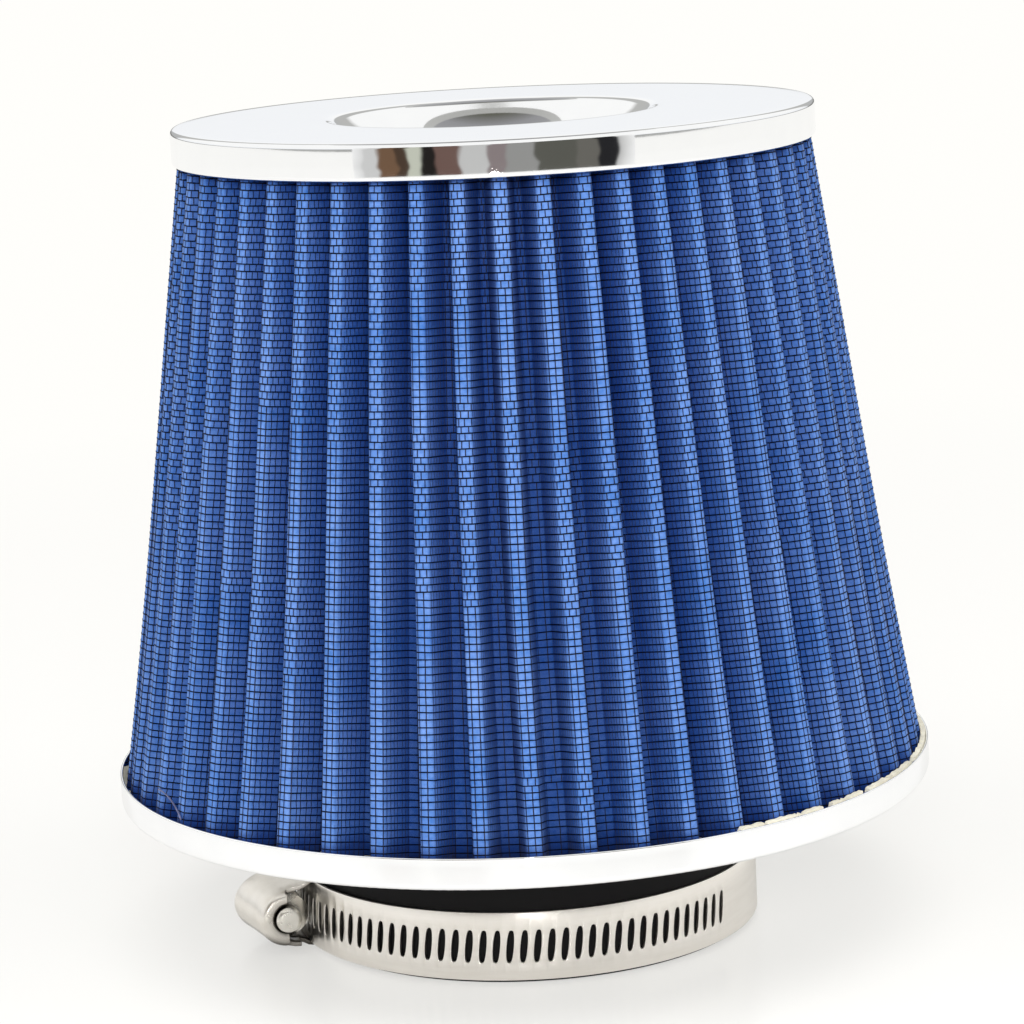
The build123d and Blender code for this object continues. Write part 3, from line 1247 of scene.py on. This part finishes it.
LAMPS = (
    Lamp("top_lamp", (0.0, -0.35, 1.2), 1.1, 12.0),
    Lamp("front_lamp", (0.0, -1.2, 0.42), 0.4, 10.5),
    Lamp("left_lamp", (-1.25, -0.3, 0.65), 0.8, 6.0),
    Lamp("right_lamp", (1.25, -0.3, 0.65), 0.8, 6.0),
)
WHITE = (1.0, 1.0, 1.0)
SEAM = (0.5, 0.5, 0.49)
SKY = (
    (0.0, (0.40, 0.40, 0.39)),
    (0.045, (0.46, 0.46, 0.45)),
    (0.062, (0.90, 0.915, 0.935)),
    (0.12, (0.93, 0.945, 0.965)),
    (0.30, (1.0, 1.0, 0.99)),
)
CORNERS = ((0.05, WHITE), (0.062, SEAM), (0.15, SEAM), (0.175, WHITE))
CARD_END = (0.92, 0.92, 0.91)
CARD_EDGE = (0.75, 0.75, 0.74)
PANELS = (
    (0.05, (0.62, 0.62, 0.61)),
    (0.10, (0.17, 0.10, 0.06)),
    (0.155, (0.07, 0.046, 0.032)),
    (0.20, (0.55, 0.57, 0.48)),
    (0.25, (0.018, 0.016, 0.015)),
    (0.30, (0.16, 0.10, 0.085)),
    (0.385, (0.55, 0.55, 0.54)),
    (0.48, (0.25, 0.21, 0.21)),
    (0.55, (0.30, 0.30, 0.29)),
    (0.64, (0.105, 0.105, 0.09)),
    (0.78, (0.14, 0.135, 0.12)),
    (0.86, (0.02, 0.02, 0.022)),
    (0.93, (0.55, 0.55, 0.54)),
)
ROOF_HEM = ((0.0, (0.42, 0.42, 0.40)), (1.0, (0.62, 0.62, 0.61)))
ROOF_ROOM = ((0.0, (0.10, 0.10, 0.075)), (0.2, (0.30, 0.30, 0.31)), (1.0, (0.5, 0.5, 0.5)))


@dataclass
class Studio:
    """Pale floor, soft lamps, dim openings that the chrome reflects, and the camera."""

    eye: Vector = field(default_factory=lambda: Vector((0.0, -0.66171, 0.20739)))
    pitch: float = 11.04
    roll: float = -2.89
    lens: float = 126.15
    sensor: float = 36.0
    clip: Span = (0.01, 50.0)
    aim: Vector = field(default_factory=lambda: Vector((0.0, 0.0, 0.08)))
    ambient: float = 0.65
    floor_size: float = 16.0
    floor_tone: Tone = (0.70, 0.692, 0.676)
    floor_rough: float = 0.2
    floor_specular: float = 0.4
    floor_glow: Tone = (1.0, 0.993, 0.965)
    floor_seen: Span = (0.52, 1.0)
    floor_mirrored: Span = (0.3, 0.95)
    clear: Span = (0.12, 0.6)
    card_radius: float = 0.52
    card_half_angle: float = 47.0
    card_levels: Span = (0.057, 0.30)
    card_steps: int = 48
    card_waves: Triple = (9.0, 9.0, 14.0)
    card_sway: float = 0.12
    blend: float = 0.006
    flash_radius: float = 0.014
    flash_strength: float = 60.0
    flash_levels: Span = (0.33, 0.02)
    roof_height: float = 1.15
    roof_radius: float = 0.46
    roof_offset: float = 0.34
    room_inset: float = 0.07
    room_drop: float = 0.02

    def camera(self) -> None:
        """Set the camera at the photograph's viewing angle."""
        data = bpy.data.cameras.new("camera")
        data.sensor_width = self.sensor
        data.lens = self.lens
        data.clip_start, data.clip_end = self.clip
        made = linked("camera", data)
        tilt = Matrix.Rotation(math.radians(90 - self.pitch), 4, "X")
        roll = Matrix.Rotation(math.radians(self.roll), 4, "Z")
        made.matrix_world = Matrix.Translation(self.eye) @ tilt @ roll
        bpy.context.scene.camera = made

    def floor(self) -> None:
        """Lay a pale floor that keeps the filter's shadow and clears to plain white far off."""
        bm = bmesh.new()
        bmesh.ops.create_grid(bm, x_segments=1, y_segments=1, size=self.floor_size / 2)
        made = mesh_object("floor", bm)
        pale, board = paint("pale_floor")
        gloss = {"Roughness": self.floor_rough, "Specular IOR Level": self.floor_specular}
        lit = board.add("BsdfPrincipled", {"Base Color": board.rgba(self.floor_tone), **gloss})
        glow = board.add("Emission", {"Color": board.rgba(self.floor_glow), "Strength": 1.0})
        path = board.add("LightPath").outputs
        spot = board.add("TexCoord").outputs["Object"]
        away = board.add("VectorMath", {0: spot}, operation="LENGTH").outputs["Value"]
        shares = [
            board.math("MULTIPLY", path[ray], board.span(away, self.clear, white))
            for ray, white in (("Is Camera Ray", self.floor_seen), ("Is Glossy Ray", self.floor_mirrored))
        ]
        share = board.math("MAXIMUM", *shares)
        board.finish(board.add("MixShader", {0: share, 1: lit.outputs[0], 2: glow.outputs[0]}))
        made.data.materials.append(pale)

    def world(self) -> None:
        """White surroundings, a little greyer towards the horizon and in two corners at the back."""
        world = bpy.data.worlds.new("surroundings")
        world.use_nodes = True
        board = Board(world.node_tree)
        way = board.add("TexCoord").outputs["Generated"]
        apart = board.add("SeparateXYZ", {"Vector": way}).outputs
        bearing = board.math("ARCTAN2", apart["X"], apart["Y"])
        half = board.math("DIVIDE", board.math("ABSOLUTE", bearing), math.pi)
        tone = board.mix(1.0, board.ramp(apart["Z"], SKY), board.ramp(half, CORNERS), "MULTIPLY")
        path = board.add("LightPath").outputs
        seen = board.math("MAXIMUM", path["Is Camera Ray"], path["Is Glossy Ray"])
        strength = board.span(seen, target=(self.ambient, 1.0))
        back = board.add("Background", {"Color": tone, "Strength": strength})
        board.add("OutputWorld", {"Surface": back.outputs[0]})
        bpy.context.scene.world = world

    @staticmethod
    def glowing(name: str, bm: Shape, look: Callable[[Board], Socket | Tone], strength: float = 1.0) -> None:
        """Set up a glowing card that only reflections show.

        Args:
            name: name of the card.
            bm: its mesh.
            look: adds the nodes of its colour to a board and gives that colour.
            strength: strength of its glow.
        """
        bright, board = paint(name)
        board.finish(board.add("Emission", {"Color": board.rgba(look(board)), "Strength": strength}))
        card = mesh_object(name, bm)
        card.data.materials.append(bright)
        for hidden in ("visible_camera", "visible_diffuse", "visible_shadow", "visible_transmission"):
            setattr(card, hidden, False)

    def panels(self, board: Board) -> Socket:
        """Colour of the front opening: muted panels with uneven seams.

        Args:
            board: the board to add it to.

        Returns:
            The colour.
        """
        spot = board.add("TexCoord").outputs["Object"]
        squeezed = board.add("Mapping", {"Vector": spot, "Scale": self.card_waves}).outputs["Vector"]
        ripple = board.add("TexNoise", {"Vector": squeezed, "Scale": 1.0, "Detail": 1.0}).outputs["Fac"]
        apart = board.add("SeparateXYZ", {"Vector": spot}).outputs
        angle = board.math("ARCTAN2", apart["X"], board.math("MULTIPLY", apart["Y"], -1.0))
        sway = board.math("MULTIPLY_ADD", ripple, self.card_sway, -self.card_sway / 2)
        reach = math.radians(self.card_half_angle)
        share = board.span(board.math("ADD", angle, sway), (-reach, reach))
        stops, last = [(0.0, CARD_END)], CARD_EDGE
        for start, tone in PANELS:
            stops += [(start - self.blend, last), (start + self.blend, tone)]
            last = tone
        return board.ramp(share, [*stops, (1.0, CARD_END)])

    def front_opening(self) -> None:
        """Stand the dim front opening of a light tent before the filter."""
        bm = bmesh.new()
        start = math.radians(-90 - self.card_half_angle)
        verts, edges = chain(bm, [heading(start) * self.card_radius + UP * up for up in self.card_levels])
        spun(bm, [*verts, *edges], math.radians(2 * self.card_half_angle), self.card_steps)
        self.glowing("front_opening", bm, self.panels)

    def roof_opening(self, name: str, inset: float, drop: float, tones: Sequence[tuple[float, Tone]]) -> None:
        """Hang a round card for the roof opening of the tent above the filter.

        Args:
            name: name of the card.
            inset: how much smaller than the opening it is, on each side.
            drop: how far it hangs below the opening.
            tones: its tones from front to back.
        """
        radius = self.roof_radius - inset
        over = Matrix.Translation((0.0, self.roof_offset, self.roof_height - drop))
        bm = bmesh.new()
        bmesh.ops.create_circle(bm, cap_ends=True, radius=radius, segments=96, matrix=over)

        def look(board: Board) -> Socket:
            """Colour of the card along its depth."""
            spot = board.add("SeparateXYZ", {"Vector": board.add("TexCoord").outputs["Object"]})
            ends = (self.roof_offset - radius, self.roof_offset + radius)
            return board.ramp(board.span(spot.outputs["Y"], ends), tones)

        self.glowing(name, bm, look)

    def flash(self, name: str, height: float) -> None:
        """Set a small bright disc before the filter for its glints.

        Args:
            name: name of the disc.
            height: its height above the floor.
        """
        bm = bmesh.new()
        upright = Matrix.Translation((0.0, self.eye.y, height)) @ Matrix.Rotation(math.pi / 2, 4, "X")
        bmesh.ops.create_circle(bm, cap_ends=True, radius=self.flash_radius, segments=24, matrix=upright)
        self.glowing(name, bm, lambda board: WHITE, self.flash_strength)

    def build(self) -> None:
        """Set up everything round the filter."""
        self.camera()
        self.floor()
        self.world()
        self.front_opening()
        for name, height in zip(("upper_flash", "lower_flash"), self.flash_levels):
            self.flash(name, height)
        self.roof_opening("roof_hem", 0.0, 0.0, ROOF_HEM)
        self.roof_opening("roof_room", self.room_inset, self.room_drop, ROOF_ROOM)
        for lamp in LAMPS:
            lamp.hang(self.aim)
        bpy.context.scene.view_settings.view_transform = "Standard"


def main() -> None:
    """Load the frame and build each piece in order."""
    logging.basicConfig(level=logging.INFO, format="%(name)s: %(message)s")
    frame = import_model()
    dress(frame["nodes"]["cap_potting"], CREAM)
    pack = PleatPack()
    for piece in (EndCap(), BasePan(), InletNeck(), Potting(), pack, ClampBand()):
        piece.build()
    WireEnd().build(pack)
    WormGear().build(frame["record"]["behaviour"]["joints"][0])
    Studio().build()


if __name__ == "__main__":
    main()
